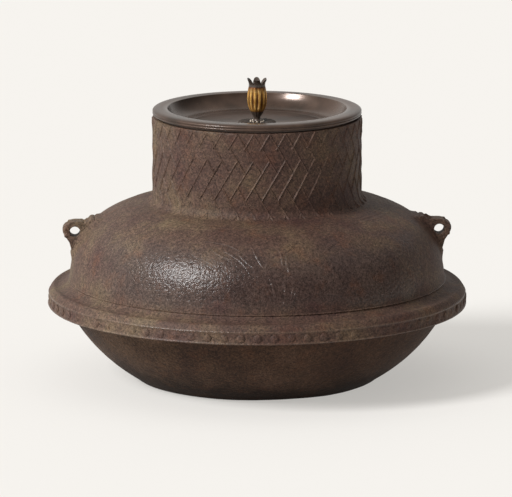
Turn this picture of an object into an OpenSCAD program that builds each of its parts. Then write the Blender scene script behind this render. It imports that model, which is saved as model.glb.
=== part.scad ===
// Tea kettle with a hearth flange: cast iron body and fitted bottom, bronze scooped lid,
// gilt gardenia-fruit knob. Origin at the middle of the foot, +Z up, lugs on the X axis.

/* [Body] */
// Outer radius of the neck at the mouth
neck_r = 71.8; // [66:0.1:78]
// Height of the neck from the shoulder's hollow to the mouth
neck_h = 52.5; // [36:0.5:62]
// How far the neck draws in between mouth and shoulder
neck_waist = 0.3; // [0:0.1:1.5]
// Width of the hollow between neck and shoulder
hollow_w = 5.2; // [4:0.1:16]
// Height of that hollow
hollow_h = 6.8; // [5:0.1:18]
// Fall of the shoulder where the hollow runs out, in degrees
shoulder_fall = 10; // [8:1:20]
// Radius of the dome at its foot line
dome_r = 129.4; // [122:0.2:134]
// Height of the dome from its foot line to the shoulder
dome_h = 53; // [44:0.2:60]
// Lean of the dome wall at its foot, in degrees
dome_lean = 4; // [0:0.5:5]
// Wall thickness of the upper casting
body_wall = 3.4; // [3:0.1:5]

/* [Flange] */
// Height of the flange's flat underside above the foot
flange_z = 51.5; // [46:0.5:58]
// Height from the flange's underside to the dome's foot line
flange_h = 18.2; // [16:0.1:20]
// Width of the flange beyond the dome's foot line
flange_w = 14.9; // [12:0.1:24]
// Height of the flange's edge band
flange_band = 8.6; // [8:0.2:11]
// How far the band leans in towards its top
band_lean = 0.4; // [0:0.1:2]
// Height of the rounded lip above the band
lip_rise = 5; // [2.5:0.1:5.4]
// Width of the rounded lip
lip_w = 6.5; // [4:0.1:7]
// Rounding of the flange's lower edge
edge_round = 1; // [0.4:0.1:2]
// Height and overhang of the raised line at the dome's foot
foot_line = 0.7; // [0.3:0.1:1]

/* [Bottom] */
// Radius of the flat foot
base_r = 80.5; // [65:0.5:90]
// Width of the turn from the foot into the bowl
base_turn_w = 6.8; // [6:0.2:12]
// Height of that turn
base_turn_h = 3.8; // [2.5:0.1:5]
// Radius of the bowl's side in section
bowl_bulge_r = 117; // [90:1:160]
// Wall thickness of the fitted bottom
pan_wall = 3.4; // [3:0.1:5]
// How far the bottom's rim reaches out beyond the dome's foot line
rim_out = 1.9; // [0:0.1:3]
// Depth of the rebate in the flange that takes the rim
rebate_h = 5; // [4:0.1:6]
// Thickness of the lacquer between rim and rebate
lute_t = 1; // [0.5:0.1:2]
// Gap between the rim and the rebate's wall
rim_fit = 0.4; // [0.2:0.05:0.6]

/* [Singing plates] */
// Length of a plate
plate_l = 36; // [24:1:44]
// Width of a plate
plate_w = 13; // [8:0.5:18]
// Thickness of a plate
plate_t = 1.6; // [1:0.1:2.5]
// Rounding of a plate's corners
plate_corner = 3; // [1:0.1:3.6]
// Radius of the ring on which the plates' middles lie
plate_ring_r = 42; // [36:1:50]
// Thickness of the lacquer under a plate
bed_t = 0.8; // [0.4:0.1:1.5]
// How much the lacquer stands back from a plate's edge
bed_inset = 2; // [1:0.1:3]

/* [Lugs] */
// Place of the lug's root on the dome's line, as a share from shoulder to foot
root_at = 0.61; // [0.5:0.01:0.7]
// Radius of the hole for the lifting ring
eye_r = 3.6; // [2.5:0.1:4.2]
// Distance of the hole's middle out from the lug's root
eye_out = 5; // [4:0.1:6]
// Height of the hole's middle above the lug's root
eye_up = 3.1; // [2:0.1:5]
// Radius of the brow that arches over the hole
brow_r = 5.6; // [5.2:0.1:7]
// Radius of the knob at the lug's tip
tip_r = 4.5; // [4.2:0.1:6]
// Radius of the curl where the lug runs out on the shoulder
curl_r = 2.6; // [2:0.1:4]
// Distance of the curl back from the hole's middle
curl_back = 12; // [11:0.1:14]
// Distance of the heel below the hole's middle
heel_drop = 16; // [13:0.5:20]
// Width of the lug along the hole
lug_w = 12; // [9:0.5:16]
// Width of the lug where it spreads on the dome
lug_foot_w = 20; // [16:0.5:26]
// Rounding of the lug's tip as seen from above
lug_round = 3.5; // [2:0.1:4]
// Radius of the lug's root in the wall
root_r = 5; // [3.5:0.1:6]
// Depth of the root in the wall
root_depth = 1.8; // [1.2:0.1:2.4]
// Gap between a lug and the wall that holds it
root_fit = 0.1; // [0.05:0.01:0.2]

/* [Lid] */
// How far the lid's edge stands back from the neck
lid_back = 0.2; // [0:0.1:1]
// Height of the lid's rim above the mouth
lid_rise = 5.5; // [3.4:0.1:6]
// Width of the flat rim
rim_w = 10.4; // [8:0.1:12]
// Width of the dish's curved wall
dish_w = 13.1; // [9:0.1:18]
// Depth of the dish below the rim
dish_depth = 10.5; // [7:0.1:12]
// Thickness of the bronze
lid_t = 2.6; // [2:0.1:3.2]
// Width of the rounding of the rim's outer edge
lid_round = 3.6; // [0.8:0.1:3.6]
// Rounding of the rim's inner edge
rim_round = 0.8; // [0.4:0.1:1.2]
// Height of the bead under the rim
bead_h = 1.6; // [1.2:0.1:1.8]
// Depth of the grooves on both sides of the bead
bead_groove = 0.5; // [0.3:0.05:0.6]
// Depth of the collar below the mouth
collar_h = 8; // [5:0.1:12]
// Thickness of the collar
collar_t = 2.4; // [1.5:0.1:3]
// Gap between the collar and the mouth
collar_fit = 0.7; // [0.4:0.05:1.2]

/* [Knob] */
// Radius of the chrysanthemum washer to its petals' tips
seat_r = 13; // [10:0.1:16]
// Thickness of the washer
seat_t = 1.2; // [0.8:0.1:2]
// Number of petals
petals = 16; // [12:1:20]
// Radius of the ring of pearls on the washer
pearl_ring_r = 6.8; // [5:0.1:8]
// Radius of a pearl
pearl_r = 0.75; // [0.5:0.05:0.9]
// Radius of the tang
tang_r = 1.7; // [1.2:0.05:2]
// Gap around the tang
tang_fit = 0.15; // [0.05:0.01:0.3]
// Height of the dark stem above the washer
stem_h = 6.6; // [5:0.1:9]
// Radius of the stem's waist
stem_waist_r = 2; // [1.8:0.1:2.6]
// Width and height of the bead at the stem's foot
stem_bead = 0.7; // [0.4:0.1:1]
// Radius of the stem at the fruit
stem_top_r = 4.5; // [3.6:0.1:4.8]
// Height of the gilt fruit
fruit_h = 17.4; // [14:0.1:20]
// Greatest radius of the fruit
fruit_r = 6.8; // [6:0.1:8]
// Number of flutes on the fruit
flutes = 12; // [6:1:14]
// Depth of a flute
flute_depth = 0.75; // [0.3:0.05:1]
// Radius of the fruit where the crown sits
crown_foot_r = 5.8; // [5:0.1:6]
// Height of the crown to its tips
crown_h = 5.3; // [4.5:0.1:8]
// Radius of the crown at its tips
crown_r = 7.1; // [6:0.1:8]
// Number of sepals
sepals = 6; // [5:1:8]
// Height of the notches between the sepals
notch_h = 1.2; // [0.6:0.1:2]
// Thickness of a sepal
sepal_t = 0.9; // [0.6:0.1:1.4]
// Radius of the washer under the lid
washer_r = 8; // [6:0.1:12]
// Thickness of that washer
washer_t = 1; // [0.6:0.1:1.6]
// Thickness of the head that holds the tang
head_t = 1.2; // [0.8:0.1:2]

/* [Hidden] */
plates = 5;
$fn = 96;
// Facets round the large turned pieces, and round small discs and balls.
turned_fn = 180;
small_fn = 32;
// Points along a long curve and along a short one.
long_n = 28;
short_n = 8;
// Handle length of a quarter round as a share of its radius.
round_ease = 0.55;

iron_colour = "#5b4a3f";
pan_colour = "#463c34";
lacquer_colour = "#241a17";
plate_colour = "#4a4441";
bronze_colour = "#54483d";
gilt_colour = "#b07f2e";
dark_colour = "#3a322b";

// Curves: a cubic through its handles, a circular arc by its end points, and a parallel line.
function cubic(p, t) =
  pow(1 - t, 3) * p[0] + 3 * pow(1 - t, 2) * t * p[1] + 3 * (1 - t) * t * t * p[2] + pow(t, 3) * p[3];
function cubic_line(p, n) = [for (i = [0 : n]) cubic(p, i / n)];
function unit(v) = v / norm(v);
function left_of(v) = [-v[1], v[0]];
function arc_middle(a, b, r) =
  let (half = norm(b - a) / 2)
  (a + b) / 2 + sqrt(r * r - half * half) * left_of(unit(b - a));
function arc_line(a, b, r, n) =
  let (
    middle = arc_middle(a, b, r),
    from = atan2(a[1] - middle[1], a[0] - middle[0]),
    sweep = 2 * asin(norm(b - a) / (2 * r))
  )
  [for (i = [0 : n]) middle + r * [cos(from + sweep * i / n), sin(from + sweep * i / n)]];
function side(line, i) =
  let (last = len(line) - 1)
  left_of(unit(line[min(i + 1, last)] - line[max(i - 1, 0)]));
function parallel(line, d) = [for (i = [0 : len(line) - 1]) line[i] + d * side(line, i)];
function turned(line) = [for (i = [len(line) - 1 : -1 : 0]) line[i]];
function from_second(line) = [for (i = [1 : len(line) - 1]) line[i]];
function end_of(line) = line[len(line) - 1];

// Heights of the upper casting, one on top of the other, and its radii.
dome_z = flange_z + flange_h;
shoulder_z = dome_z + dome_h;
neck_foot_z = shoulder_z + hollow_h;
mouth_z = neck_foot_z + neck_h;
shoulder_r = neck_r + hollow_w;
flange_r = dome_r + flange_w;
mouth_r = neck_r - body_wall;

// Section of the upper casting, from the mouth down the outside.
neck_pull = neck_h / 3;
neck_draw = neck_waist * 4 / 3;
hollow_drop = hollow_h * round_ease;
hollow_run = hollow_w * round_ease;
dome_ease_out = 0.66;
dome_ease_up = 0.6;
shoulder_dir = [cos(shoulder_fall), -sin(shoulder_fall)];
dome_dir = [-sin(dome_lean), cos(dome_lean)];
neck_foot = [neck_r, neck_foot_z];
shoulder = [shoulder_r, shoulder_z];
dome_foot = [dome_r, dome_z];
neck_line = cubic_line([
  [neck_r, mouth_z],
  [neck_r - neck_draw, mouth_z - neck_pull],
  [neck_r - neck_draw, neck_foot_z + neck_pull],
  neck_foot
], short_n);
hollow_line = cubic_line([
  neck_foot,
  neck_foot - [0, hollow_drop],
  shoulder - hollow_run * shoulder_dir,
  shoulder
], short_n);
dome_handles = [
  shoulder,
  shoulder + (dome_r - shoulder_r) * dome_ease_out * shoulder_dir,
  dome_foot + dome_h * dome_ease_up * dome_dir,
  dome_foot
];
dome_line = cubic_line(dome_handles, long_n);
shoulder_line = concat(hollow_line, from_second(dome_line));

// Section of the flange, from the dome's foot out and down: raised line, strip, lip, band.
band_top = [flange_r - band_lean, flange_z + flange_band];
lip_top = band_top + [-lip_w * 2 / 3, lip_rise];
lip_in = band_top + [-lip_w, lip_rise * 0.9];
groove = dome_foot + foot_line * [1 / 3, -2];
strip_pull = (lip_in[0] - groove[0]) / 4;
strip_fall = (groove[1] - lip_in[1]) * round_ease;
flange_line = concat(
  [
    dome_foot + foot_line * [1, -0.5],
    dome_foot + foot_line * [1, -1.5]
  ],
  cubic_line([
    groove,
    groove + [strip_pull, -strip_fall],
    lip_in - [strip_pull, 0],
    lip_in
  ], short_n),
  cubic_line([
    lip_top,
    lip_top + [lip_w * 2 / 3 * round_ease, 0],
    band_top + [0, lip_rise * round_ease],
    band_top
  ], short_n),
  cubic_line([
    [flange_r, flange_z + edge_round],
    [flange_r, flange_z + edge_round * (1 - round_ease)],
    [flange_r - edge_round * (1 - round_ease), flange_z],
    [flange_r - edge_round, flange_z]
  ], 4)
);

// Section of the fitted bottom: foot, turn, bowl, rim.
pan_rim_r = dome_r + rim_out;
rim_top_z = flange_z + rebate_h - lute_t;
rim_foot = [pan_rim_r, flange_z];
turn_end = [base_r + base_turn_w, base_turn_h];
turn_pull = base_turn_w * 0.36;
bowl_dir = left_of(unit(turn_end - arc_middle(turn_end, rim_foot, bowl_bulge_r)));
bowl_line = concat(
  cubic_line([
    [base_r, 0],
    [base_r + turn_pull, 0],
    turn_end - turn_pull * bowl_dir,
    turn_end
  ], short_n),
  from_second(arc_line(turn_end, rim_foot, bowl_bulge_r, long_n))
);
bowl_inside = parallel(bowl_line, pan_wall);
pan_inside_r = end_of(bowl_inside)[0];

// Lug frame: a point on the dome and the outward direction there.
root = cubic(dome_handles, root_at);
root_step = 0.01;
root_dir = unit(left_of(cubic(dome_handles, root_at + root_step) - cubic(dome_handles, root_at - root_step)));
root_tilt = 90 - atan2(root_dir[1], root_dir[0]);
eye = root + [eye_out, eye_up];

// Lug profile: brow, tip and curl around the eye, with the notch, tail, waist and heel of its web.
brow = eye + brow_r * [-0.27, 0.62];
tip = eye + tip_r * [0.87, 0.18];
tip_low = tip + tip_r * [cos(30), -sin(30)];
curl = eye + curl_back * [-1, 0.58];
curl_notch = eye + curl_back * [-0.69, 0.63];
tail = eye + curl_back * [-1.31, 0.7];
waist = eye + heel_drop * [0.24, -0.46];
heel = eye + heel_drop * [0.09, -1];
lug_in_r = eye[0] - 1.6 * curl_back;

// Heights and radii of the lid.
lid_r = neck_r - lid_back;
lid_top_z = mouth_z + lid_rise;
floor_z = lid_top_z - dish_depth;
under_z = floor_z - lid_t;
rim_in_r = lid_r - rim_w;
floor_r = rim_in_r - dish_w;
collar_r = mouth_r - collar_fit;
collar_in_r = collar_r - collar_t;
bead_z = mouth_z + lid_rise * 0.25;
bead_top_z = bead_z + bead_h;
lid_edge_drop = (lid_top_z - bead_top_z - bead_groove) * 0.85;
dish_line = cubic_line([
  [floor_r, floor_z],
  [floor_r + dish_w * 0.6, floor_z],
  [rim_in_r - 2 * rim_round, floor_z + dish_depth * round_ease],
  [rim_in_r, lid_top_z - rim_round]
], short_n);

// Heights and radii of the knob.
bore_r = tang_r + tang_fit;
seat_top_z = floor_z + seat_t;
fruit_z = seat_top_z + stem_h;
crown_z = fruit_z + fruit_h;
washer_z = under_z - washer_t;
head_r = 2 * tang_r;
boss_h = crown_h * 0.5;

module turned_section(points) {
  rotate_extrude($fn = turned_fn) polygon(points);
}

// Outside of dome and shoulder, grown by a gap, closed to the axis.
module dome_solid(gap) {
  turned_section(concat(
    [[0, neck_foot_z]],
    parallel(shoulder_line, gap),
    [[0, dome_z]]
  ));
}

module lug_root(grow) {
  translate([root[0], 0, root[1]])
    rotate([0, root_tilt, 0])
      translate([0, 0, -root_depth - grow])
        cylinder(h = root_depth + grow + eye_out, r = root_r + grow);
}

module kettle_body() {
  color(iron_colour)
    difference() {
      turned_section(concat(
        [[mouth_r, mouth_z]],
        neck_line,
        from_second(shoulder_line),
        flange_line,
        [
          [pan_rim_r + rim_fit, flange_z],
          [pan_rim_r + rim_fit, flange_z + rebate_h],
          [dome_r - body_wall, flange_z + rebate_h]
        ],
        turned(from_second(parallel(shoulder_line, -body_wall)))
      ));
      for (turn = [0, 180]) rotate([0, 0, turn]) lug_root(root_fit);
    }
}

module bottom_pan() {
  color(pan_colour)
    turned_section(concat(
      [[0, 0]],
      bowl_line,
      [[pan_rim_r, rim_top_z], [pan_inside_r, rim_top_z]],
      turned(bowl_inside),
      [[0, pan_wall]]
    ));
}

module lacquer_seam() {
  color(lacquer_colour)
    translate([0, 0, rim_top_z])
      difference() {
        cylinder(h = lute_t, r = pan_rim_r);
        translate([0, 0, -lute_t]) cylinder(h = 3 * lute_t, r = pan_inside_r);
      }
}

// Plan of a lug: wide on the dome, straight cheeks beside the eye, rounded tip.
function lug_plan() =
  let (
    foot = lug_foot_w / 2,
    cheek = lug_w / 2,
    cheek_in = eye[0] - eye_r * 1.1,
    flare = (cheek_in - lug_in_r) * round_ease,
    tip_x = tip[0] + tip_r,
    pull = lug_round * (1 - round_ease),
    half = concat(
      cubic_line([
        [lug_in_r, foot],
        [lug_in_r + flare, foot],
        [cheek_in - flare, cheek],
        [cheek_in, cheek]
      ], short_n),
      cubic_line([
        [tip_x - lug_round, cheek],
        [tip_x - pull, cheek],
        [tip_x, cheek - pull],
        [tip_x, cheek - lug_round]
      ], short_n)
    )
  )
  concat(half, [for (p = turned(half)) [p[0], -p[1]]]);

// One lug: a brow over the eye, a knob at the tip, a curl on the shoulder and a web down to its heel.
module lug() {
  difference() {
    union() {
      intersection() {
        rotate([90, 0, 0])
          linear_extrude(height = lug_foot_w, center = true)
            union() {
              translate(brow) circle(r = brow_r);
              translate(tip) circle(r = tip_r);
              translate(curl) circle(r = curl_r);
              polygon([
                tail, curl_notch, brow, tip, tip_low, waist, heel,
                [lug_in_r, heel[1]], [lug_in_r, curl[1]]
              ]);
            }
        linear_extrude(height = 2 * mouth_z) polygon(lug_plan());
      }
      lug_root(0);
    }
    difference() {
      dome_solid(root_fit);
      lug_root(0);
    }
    translate([eye[0], 0, eye[1]])
      rotate([90, 0, 0])
        cylinder(h = 2 * lug_foot_w, r = eye_r, center = true);
  }
}

module right_lug() {
  color(iron_colour) lug();
}

module left_lug() {
  color(iron_colour) rotate([0, 0, 180]) lug();
}

module on_plate_ring(i) {
  rotate([0, 0, 90 + i * 360 / plates]) translate([plate_ring_r, 0, pan_wall]) children();
}

// Flat slab with rounded corners.
module slab(l, w, t) {
  corner = plate_corner * w / plate_w;
  linear_extrude(height = t)
    union() {
      square([l - 2 * corner, w], center = true);
      square([l, w - 2 * corner], center = true);
      for (x = [-1, 1], y = [-1, 1])
        translate([x * (l / 2 - corner), y * (w / 2 - corner)]) circle(r = corner, $fn = small_fn);
    }
}

module lacquer_bed(i) {
  color(lacquer_colour)
    on_plate_ring(i) slab(plate_l - 2 * bed_inset, plate_w - 2 * bed_inset, bed_t);
}

module singing_plate(i) {
  color(plate_colour)
    on_plate_ring(i) translate([0, 0, bed_t]) slab(plate_l, plate_w, plate_t);
}

// Lid: floor, dish, flat rim, beaded edge, collar, and an underside parallel to the dish.
module lid() {
  under_line = [
    for (p = parallel(dish_line, -lid_t)) if (p[1] < mouth_z && p[0] < collar_in_r - collar_fit) p
  ];
  color(bronze_colour)
    turned_section(concat(
      [[bore_r, floor_z]],
      dish_line,
      [[rim_in_r + rim_round, lid_top_z]],
      cubic_line([
        [lid_r - lid_round, lid_top_z],
        [lid_r - lid_round * (1 - round_ease), lid_top_z],
        [lid_r, lid_top_z - lid_edge_drop * (1 - round_ease)],
        [lid_r, lid_top_z - lid_edge_drop]
      ], 4),
      [
        [lid_r, bead_top_z + bead_groove],
        [lid_r - bead_groove, bead_top_z],
        [lid_r, bead_top_z - bead_groove],
        [lid_r, bead_z + bead_groove],
        [lid_r - bead_groove, bead_z],
        [lid_r - bead_groove, mouth_z],
        [collar_r, mouth_z],
        [collar_r, mouth_z - collar_h],
        [collar_in_r, mouth_z - collar_h],
        [collar_in_r, mouth_z],
        [end_of(under_line)[0], mouth_z]
      ],
      turned(under_line),
      [[bore_r, under_z]]
    ));
}

// Chrysanthemum washer: a ring of petals and a ring of pearls.
module knob_seat() {
  petal_r = seat_r * sin(180 / petals);
  petal_ring_r = seat_r - petal_r;
  color(bronze_colour)
    translate([0, 0, floor_z])
      difference() {
        union() {
          linear_extrude(height = seat_t)
            union() {
              circle(r = petal_ring_r);
              for (i = [1 : petals])
                rotate(i * 360 / petals) translate([petal_ring_r, 0]) circle(r = petal_r, $fn = small_fn);
            }
          for (i = [1 : petals])
            rotate([0, 0, (i + 0.5) * 360 / petals])
              translate([pearl_ring_r, 0, seat_t]) sphere(r = pearl_r, $fn = small_fn);
        }
        translate([0, 0, -seat_t]) cylinder(h = 4 * seat_t, r = bore_r);
      }
}

// A ring of points of one radius and height.
function flat_ring(r, z, n) = [for (j = [0 : n - 1]) [r * cos(360 * j / n), r * sin(360 * j / n), z]];

// A closed solid from rings of points, each joined to the next and the last to the first.
module ring_solid(loops) {
  n = len(loops[0]);
  m = len(loops);
  points = [for (l = loops) for (p = l) p];
  faces = [
    for (k = [0 : m - 1], j = [0 : n - 1], half = [0, 1])
      let (
        a = k * n + j,
        b = k * n + (j + 1) % n,
        c = ((k + 1) % m) * n + (j + 1) % n,
        d = ((k + 1) % m) * n + j
      )
      half == 0 ? [c, b, a] : [d, c, a]
  ];
  polyhedron(points = points, faces = faces, convexity = 6);
}

// Fruit: its greatest radius lies below the middle, and rounded flutes die away at both ends.
belly_low = 1.13;
belly_high = 1.06;
flute_run_out = 0.08;
flute_sharpness = 3;
function fruit_outline(t) =
  cubic([
    [stem_top_r, 0],
    [fruit_r * belly_low, fruit_h * 0.3],
    [fruit_r * belly_high, fruit_h * 0.66],
    [crown_foot_r, fruit_h]
  ], t);
function flute(a, t) =
  flute_depth * pow(abs(cos(a * flutes / 2)), flute_sharpness)
    * sin(180 * (flute_run_out + (1 - 2 * flute_run_out) * t));

module knob_fruit() {
  around = 6 * flutes;
  rings = 14;
  ring = function (t) [
    for (j = [0 : around - 1])
      let (a = 360 * j / around, p = fruit_outline(t), r = p[0] - flute(a, t))
      [r * cos(a), r * sin(a), p[1]]
  ];
  loops = concat(
    [flat_ring(bore_r, 0, around)],
    [for (k = [0 : rings]) ring(k / rings)],
    [flat_ring(bore_r, fruit_h, around)]
  );
  color(gilt_colour) translate([0, 0, fruit_z]) ring_solid(loops);
}

// Crown: a cup whose wall rises to a blunt tip at each sepal and leans out, around a small boss.
tip_bluntness = 2.2;
crown_waist = 0.06;
sepal_taper = 0.65;
function sepal_rise(a) = 1 - pow(1 - 2 * abs((a * sepals / 360) % 1 - 0.5), tip_bluntness);
function crown_lean(z) =
  crown_foot_r * (1 - crown_waist * sin(180 * z / crown_h))
    + (crown_r - crown_foot_r) * pow(z / crown_h, 2);

module knob_crown() {
  around = 16 * sepals;
  rings = 6;
  inner_first = 2;
  boss_r = 2 * bore_r - tang_fit;
  wall = function (t, inset) [
    for (j = [0 : around - 1])
      let (
        a = 360 * j / around,
        z = (notch_h + (crown_h - notch_h) * sepal_rise(a)) * t,
        r = crown_lean(z) - inset * (1 - sepal_taper * t)
      )
      [r * cos(a), r * sin(a), z]
  ];
  loops = concat(
    [flat_ring(bore_r, 0, around), flat_ring(crown_foot_r, 0, around)],
    [for (k = [1 : rings]) wall(k / rings, 0)],
    [for (k = [rings : -1 : inner_first]) wall(k / rings, sepal_t)],
    [flat_ring(boss_r, notch_h / 2, around), flat_ring(bore_r, boss_h, around)]
  );
  color(dark_colour) translate([0, 0, crown_z]) rotate([0, 0, 180 / sepals]) ring_solid(loops);
}

// Stem: headed tang through the lid, waist on the washer, cup under the fruit, pin to the crown.
module knob_stem() {
  pin_top_z = crown_z + boss_h;
  color(dark_colour)
    turned_section(concat(
      [
        [0, washer_z - head_t],
        [head_r * 0.7, washer_z - head_t],
        [head_r, washer_z - head_t * 0.4],
        [head_r, washer_z],
        [tang_r, washer_z],
        [tang_r, seat_top_z],
        [stem_waist_r + stem_bead, seat_top_z],
        [stem_waist_r, seat_top_z + stem_bead]
      ],
      cubic_line([
        [stem_waist_r, seat_top_z + 2 * stem_bead],
        [stem_waist_r, seat_top_z + stem_h * round_ease],
        [stem_top_r * 0.8, seat_top_z + stem_h * 0.6],
        [stem_top_r, fruit_z]
      ], short_n),
      [
        [tang_r, fruit_z],
        [tang_r, pin_top_z],
        [tang_r * 0.6, pin_top_z + tang_fit * 2],
        [0, pin_top_z + tang_fit * 3]
      ]
    ));
}

module under_washer() {
  color(bronze_colour)
    translate([0, 0, washer_z])
      difference() {
        cylinder(h = washer_t, r = washer_r);
        translate([0, 0, -washer_t]) cylinder(h = 3 * washer_t, r = bore_r);
      }
}

kettle_body();
bottom_pan();
lacquer_seam();
left_lug();
right_lug();
for (i = [1 : plates]) {
  singing_plate(i);
  lacquer_bed(i);
}
lid();
knob_seat();
knob_fruit();
knob_crown();
knob_stem();
under_washer();
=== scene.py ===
# %% [markdown]
# This lesson dresses the CAD model of a chagama, the iron kettle of the Japanese tea room.
# The CAD model gives every piece its size, its place and the body that it moves with.
# Blender adds what the eye sees: cast skin, raised lattice, patina, gilding and light.
# Lengths are written in millimetres and turned to metres by one factor, MM.

# %% Load the frame
import math

import bmesh
import bpy
from mathutils import Matrix, Vector, noise
from mathutils.bvhtree import BVHTree
from mathutils.geometry import interpolate_bezier


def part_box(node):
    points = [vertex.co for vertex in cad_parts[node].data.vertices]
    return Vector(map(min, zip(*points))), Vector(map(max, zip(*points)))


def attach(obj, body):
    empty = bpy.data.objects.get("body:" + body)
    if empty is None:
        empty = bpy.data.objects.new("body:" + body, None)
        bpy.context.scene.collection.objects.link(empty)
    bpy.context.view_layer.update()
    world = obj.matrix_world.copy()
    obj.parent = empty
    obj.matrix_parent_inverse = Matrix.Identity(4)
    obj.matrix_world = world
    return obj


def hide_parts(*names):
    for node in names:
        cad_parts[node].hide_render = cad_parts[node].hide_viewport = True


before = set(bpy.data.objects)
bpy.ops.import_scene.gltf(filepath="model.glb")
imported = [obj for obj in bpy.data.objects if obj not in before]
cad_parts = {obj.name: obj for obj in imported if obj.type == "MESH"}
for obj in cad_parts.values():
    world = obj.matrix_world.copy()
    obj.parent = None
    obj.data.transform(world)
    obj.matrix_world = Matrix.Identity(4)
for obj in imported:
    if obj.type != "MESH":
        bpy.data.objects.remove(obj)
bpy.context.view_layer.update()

MM = 0.001
scene = bpy.context.scene

# %% [markdown]
# The camera stands far off with a long lens, so the kettle shows almost no perspective.
# It looks down on the rim by about eleven degrees, and stands a little to the left, which brings
# the left lug nearer. A long lens is chosen because the ellipses of mouth and flange look alike.

# %% Camera
IMAGE_WIDTH_PX = 512
FOCAL_PX = 5816
CAMERA_DISTANCE = 4000 * MM
CAMERA_TURN = math.radians(-2.4)
CAMERA_RISE = math.radians(11.2)
CAMERA_AIM = Vector((-0.7, 0.0, 89.1)) * MM
SENSOR_MM = 36

towards_camera = Vector((
    math.sin(CAMERA_TURN) * math.cos(CAMERA_RISE),
    -math.cos(CAMERA_TURN) * math.cos(CAMERA_RISE),
    math.sin(CAMERA_RISE),
))
camera = bpy.data.objects.new("camera", bpy.data.cameras.new("camera"))
camera.data.sensor_width = SENSOR_MM
camera.data.lens = FOCAL_PX / IMAGE_WIDTH_PX * SENSOR_MM
camera.location = CAMERA_AIM + CAMERA_DISTANCE * towards_camera
camera.rotation_euler = towards_camera.to_track_quat("Z", "Y").to_euler()
scene.collection.objects.link(camera)
scene.camera = camera
scene.view_settings.view_transform = "Standard"
print("lens", round(camera.data.lens, 1), "mm")

# %% [markdown]
# Colours are written as the sRGB hex values that a colour picker shows. Shaders work in linear
# light, so one function turns a hex value into linear numbers. A second function adds a shader
# node, sets its properties, colour stops and values, and links its inputs. A third turns a size in
# millimetres into the scale of a texture. With these three, a finish reads like a recipe.

# %% Colour and node helpers
def linear(hex_colour):
    """Linear RGBA of an sRGB hex colour."""
    channels = [int(hex_colour[i:i + 2], 16) / 255 for i in (1, 3, 5)]
    light = [c / 12.92 if c <= 0.04045 else ((c + 0.055) / 1.055) ** 2.4 for c in channels]
    return (*light, 1.0)


def add(tree, kind, settings=None, links=None):
    """Adds a shader node; settings are properties, colour stops or values, links are sockets."""
    node = tree.nodes.new("ShaderNode" + kind)
    settings = dict(settings or {})
    stops = settings.pop("stops", None)
    for name in [name for name in settings if hasattr(node, str(name))]:
        setattr(node, name, settings.pop(name))
    for name, value in settings.items():
        node.inputs[name].default_value = value
    if stops:
        elements = node.color_ramp.elements
        while len(elements) < len(stops):
            elements.new(1.0)
        for element, (position, hex_colour) in zip(elements, stops):
            element.position = position
            element.color = linear(hex_colour)
    for name, socket in (links or {}).items():
        tree.links.new(socket, node.inputs[name])
    return node


def per_mm(size):
    """Texture scale that gives features of this size in millimetres."""
    return 1 / (size * MM)


print("iron brown in linear light:", [round(c, 3) for c in linear("#5b4a3f")])

# %% [markdown]
# The kettle stands on a wide pale table. A plane larger than the view has no visible edge,
# so no backdrop is needed. Its matt colour is set so that the table, lit, has the tone of the
# photograph. The camera sees the table a little lifted, as on a lit table, so its shadow is soft,
# and what mirrors the table shows it in the same way.

# %% Floor
FLOOR_HALF = 6000 * MM
FLOOR_DROP = 0.05 * MM
FLOOR_LIFT = 0.5
bm = bmesh.new()
bmesh.ops.create_grid(bm, x_segments=1, y_segments=1, size=FLOOR_HALF,
                      matrix=Matrix.Translation((0, 0, -FLOOR_DROP)))
floor_mesh = bpy.data.meshes.new("floor")
bm.to_mesh(floor_mesh)
bm.free()
floor = bpy.data.objects.new("floor", floor_mesh)
scene.collection.objects.link(floor)
pale_table = bpy.data.materials.new("pale_matt_table")
pale_table.use_nodes = True
tree = pale_table.node_tree
table = tree.nodes["Principled BSDF"]
table.inputs["Base Color"].default_value = linear("#e3e1de")
table.inputs["Roughness"].default_value = 0.9
table.inputs["Specular IOR Level"].default_value = 0.0
glow = add(tree, "Emission", {"Color": linear("#f5f2ed")})
seen_by = add(tree, "LightPath").outputs
plain = seen_by["Is Camera Ray"]
for ray in ("Is Glossy Ray", "Is Transmission Ray"):
    plain = add(tree, "Math", {"operation": "MAXIMUM"}, {0: plain, 1: seen_by[ray]}).outputs[0]
lift = add(tree, "MapRange", {"To Max": FLOOR_LIFT}, {"Value": plain})
blend = add(tree, "MixShader", {},
            {0: lift.outputs["Result"], 1: table.outputs[0], 2: glow.outputs[0]})
tree.links.new(blend.outputs[0], tree.nodes["Material Output"].inputs["Surface"])
floor_mesh.materials.append(pale_table)
print("floor of", 2 * FLOOR_HALF, "m")

# %% [markdown]
# A soft lamp stands to the left in front of the kettle, about 37 degrees up. A sun lamp with a wide
# disc does that: its light is as soft as a studio box, and it falls evenly on the whole table. The
# sky is the studio seen from the table: a broad white reflector on the left, a pale wall behind the
# kettle, a pale ceiling, a dim wall on the right, and a dark room behind the camera.

# %% Light
KEY_TURN = math.radians(-57)
KEY_RISE = math.radians(37)
KEY_WIDTH = math.radians(19)
KEY_LEVEL = 1.12
ROOM_LEVEL = 0.08
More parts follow.
